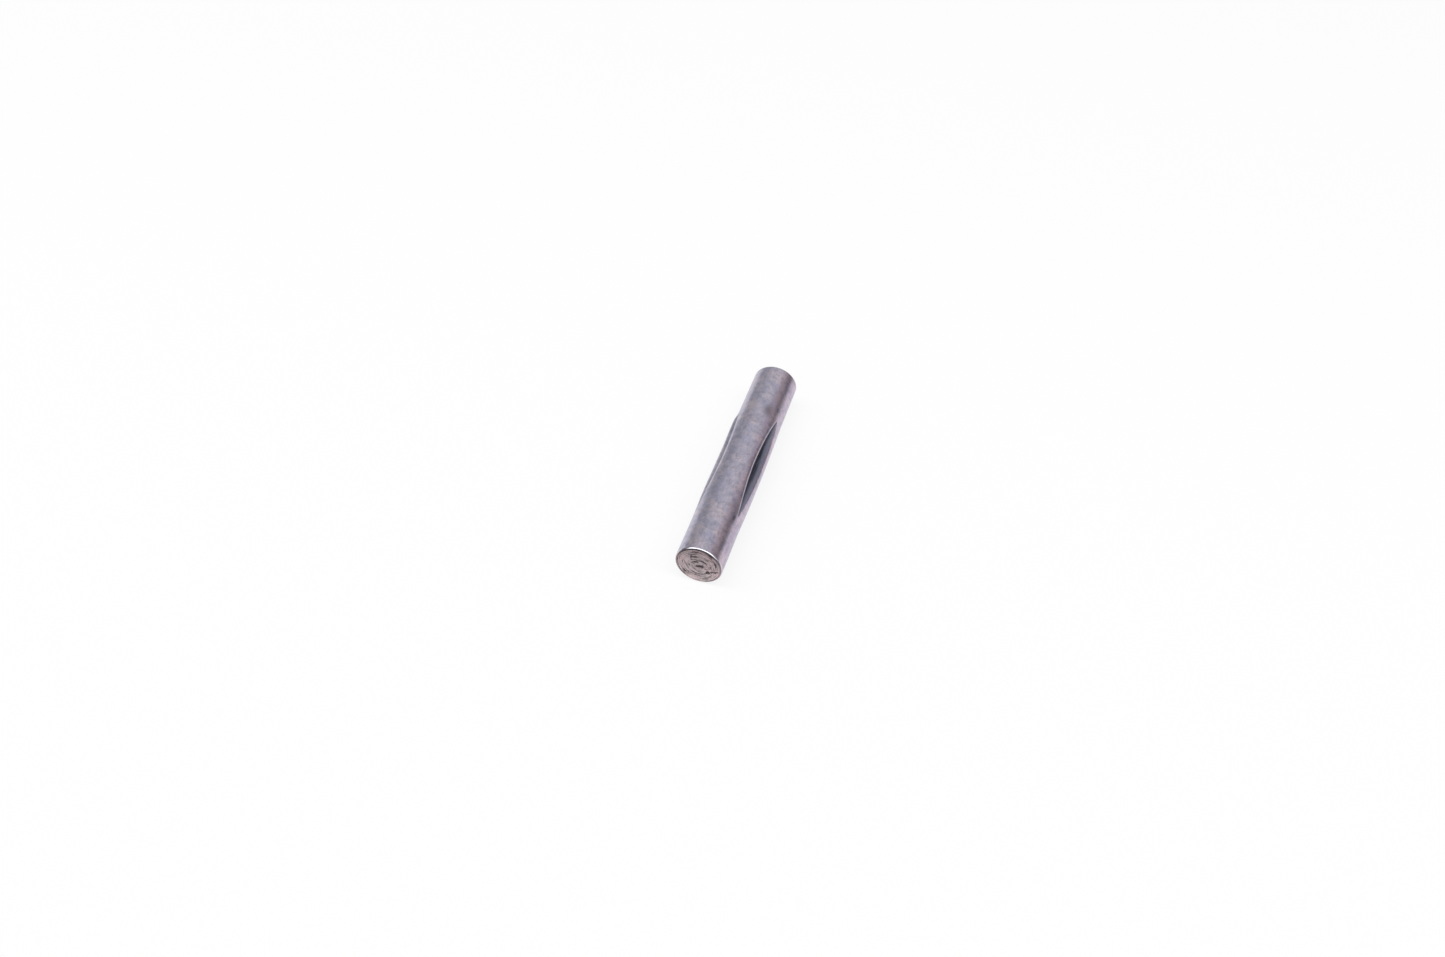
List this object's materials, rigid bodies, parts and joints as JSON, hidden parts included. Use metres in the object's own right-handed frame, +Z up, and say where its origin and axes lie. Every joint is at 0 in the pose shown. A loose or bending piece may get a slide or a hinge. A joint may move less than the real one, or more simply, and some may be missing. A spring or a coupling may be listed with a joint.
{
  "type": "groove pin",
  "caption": "Straight round steel pin with lens-shaped grooves rolled lengthwise into its middle; their raised lips grip a drilled hole while the plain ends stay free.",
  "frame": {"origin": "middle of the pin's length, on its axis", "axes": "+X along the pin's axis, towards the longer plain end, +Z up; one groove faces straight down and the pin lies on that groove's lips"},
  "size_m": [0.0282, 0.0052, 0.0051],
  "materials": {
    "steel": "satin plain steel, faintly mottled, with rough parted ends"
  },
  "bodies": {
    "root": {"groove_pin": "steel"}
  },
  "joints": []
}
